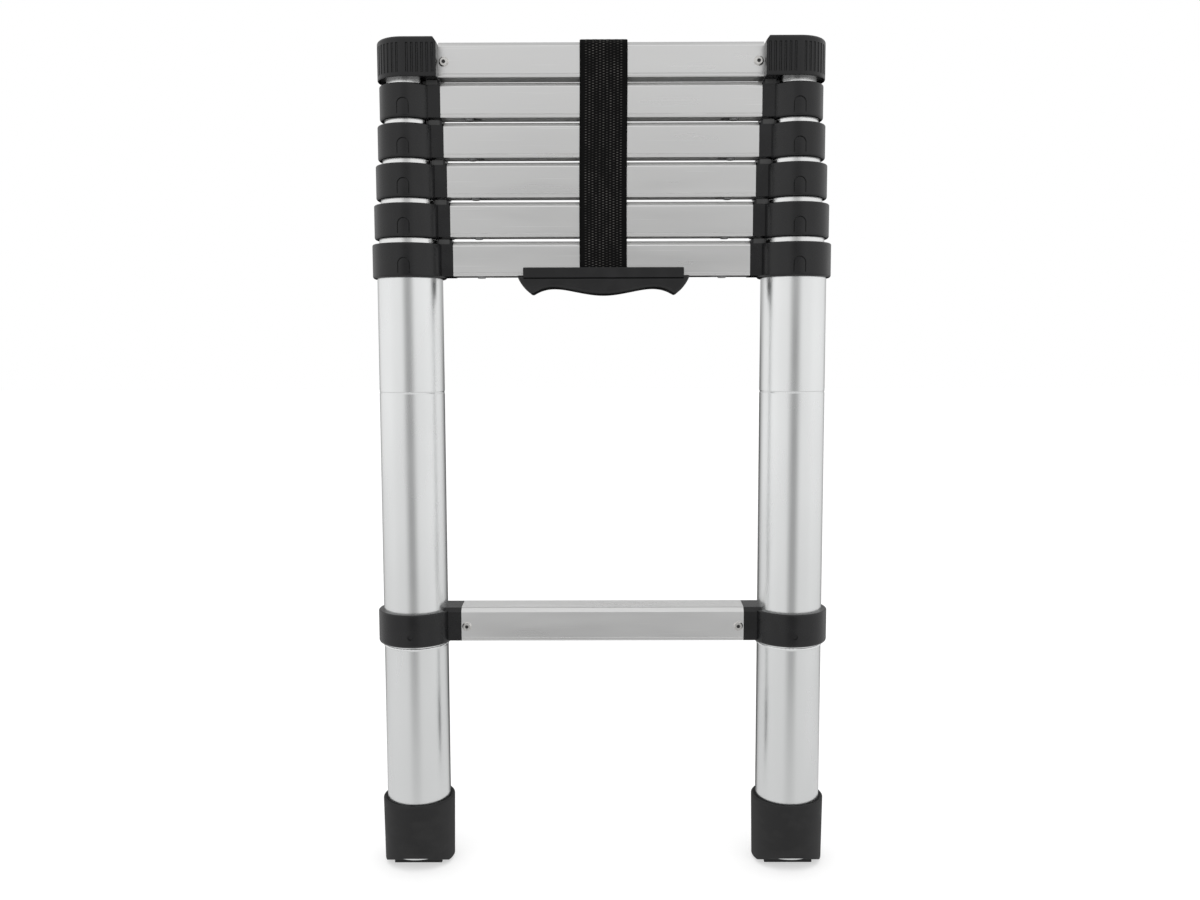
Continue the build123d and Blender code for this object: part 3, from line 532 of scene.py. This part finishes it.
def web_height(x, walked):
    """Half the webbing's thickness at x from its middle, walked metres along it."""
    edge = STRAP_WIDTH / 2 - abs(x)
    full = min(1.0, max(edge, 0.0) / EDGE_ROUND) ** 0.5
    height = STRAP_THICK / 2 * (EDGE_THICKNESS + (1 - EDGE_THICKNESS) * full)
    if edge > SELVEDGE:
        column = x / COLUMN_PITCH
        shift = 0.5 * (int(column // 1) % 2)
        rib = cos(2 * pi * (walked / RIB_PITCH + shift))
        height += RIB_HEIGHT / 2 * rib * abs(cos(pi * column)) ** 0.4
    return height


def web_loop(name, line, x_centre, finish):
    """Webbing round a closed line in (Y, Z), ribbed on both faces, with rounded selvedges."""
    mesh = bmesh.new()
    rows = []
    count = len(line)
    length = sum((line[i + 1] - line[i]).length for i in range(count - 1))
    walked = 0.0
    for i, point in enumerate(line):
        run = (line[(i + 1) % count] - line[i - 1]).normalized()
        outward = Vector((run.y, -run.x))
        if i:
            walked += (point - line[i - 1]).length
        # the webbing wanders a little from side to side
        lean = 0.0004 * sin(walked * 9.0) + 0.0002 * sin(walked * 31.0)
        row = []
        for j in range(2 * POINTS_ACROSS):
            side = 1 if j < POINTS_ACROSS else -1
            place_across = j if j < POINTS_ACROSS else 2 * POINTS_ACROSS - 1 - j
            x = (place_across / (POINTS_ACROSS - 1) * 2 - 1) * STRAP_WIDTH / 2
            place = point + outward * web_height(x, walked) * side
            row.append(mesh.verts.new((x_centre + x + lean, place.x, place.y)))
        rows.append(row)
    lay = mesh.loops.layers.uv.new("lay")
    for i, row in enumerate(rows):
        following = rows[(i + 1) % count]
        for j in range(2 * POINTS_ACROSS):
            k = (j + 1) % (2 * POINTS_ACROSS)
            face = mesh.faces.new((row[j], following[j], following[k], row[k]))
            for loop, along, column in zip(face.loops, (i, i + 1, i + 1, i), (j, j, k, k)):
                loop[lay].uv = (rows[0][column].co.x - x_centre, along * length / count)
    return made_piece(name, mesh, finish)


webbing = new_finish("strap_webbing", (0.004, 0.004, 0.004), 0.8, Specular_IOR_Level=0.1)
weave = webbing.node_tree
lay = weave.nodes.new("ShaderNodeUVMap")
lay.uv_map = "lay"
lay_axes = weave.nodes.new("ShaderNodeSeparateXYZ")
weave.links.new(lay.outputs["UV"], lay_axes.inputs[0])


across_web = maths(weave, "COSINE", maths(weave, "MULTIPLY", lay_axes.outputs["X"], pi / COLUMN_PITCH))
along_web = maths(weave, "COSINE", maths(weave, "MULTIPLY", lay_axes.outputs["Y"], 2 * pi / RIB_PITCH))
crossings = maths(weave, "MULTIPLY", across_web, along_web)
fibres = stretched_noise(webbing, (1500, 1500, 1500), detail=3.0)
glint_patch_noise = stretched_noise(webbing, (170, 170, 60), detail=3.0, seed=2.2)
from_middle = maths(weave, "ABSOLUTE", lay_axes.outputs["X"])
middle_only = maths(weave, "LESS_THAN", from_middle, STRAP_WIDTH / 2 - SELVEDGE)
# The pale specks on the crests of the weave are painted glints: the base colour is made lighter where
# light would catch the raised yarn, more so in patches set by noise, and not at all on the selvedge.
raised_yarn = rescale(webbing, crossings, 0.0, 1.0, 0.45, 0.85)
glint_patches = rescale(webbing, glint_patch_noise, 0.3, 1.0, 0.42, 0.6)
painted_glints = maths(weave, "MULTIPLY", maths(weave, "MULTIPLY", raised_yarn, glint_patches), middle_only)
blend_colours(webbing, painted_glints, (0.0022, 0.0022, 0.0022), (0.085, 0.082, 0.076))
relief(webbing, crossings, 0.00012, 0.7)
relief(webbing, fibres, 0.00006, 0.5)

rung_low, rung_high = (Vector(corner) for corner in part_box("rung_2"))
top_high = Vector(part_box("rung_7")[1])
strap_low, strap_high = (Vector(corner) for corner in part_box("strap"))
off_the_rung = STRAP_CLEARANCE + STRAP_THICK / 2
y_front = rung_low.y - off_the_rung
y_back = rung_high.y + off_the_rung
z_bottom = rung_low.z - off_the_rung
z_top = top_high.z + off_the_rung
strap_line = rounded_loop(
    [(y_front, z_bottom), (y_back - LOWER_BEVEL, z_bottom), (y_back, z_bottom + LOWER_BEVEL),
     (y_back, z_top), (y_front + CREST_DEPTH, z_top - CREST_DROP), (y_front, z_top - FRONT_DROP)],
    STRAP_BEND, RIB_PITCH / POINTS_PER_RIB)
strap = web_loop("strap_webbing", strap_line, (strap_low.x + strap_high.x) / 2, webbing)
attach(strap, "root")
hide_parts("strap")
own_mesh(strap)
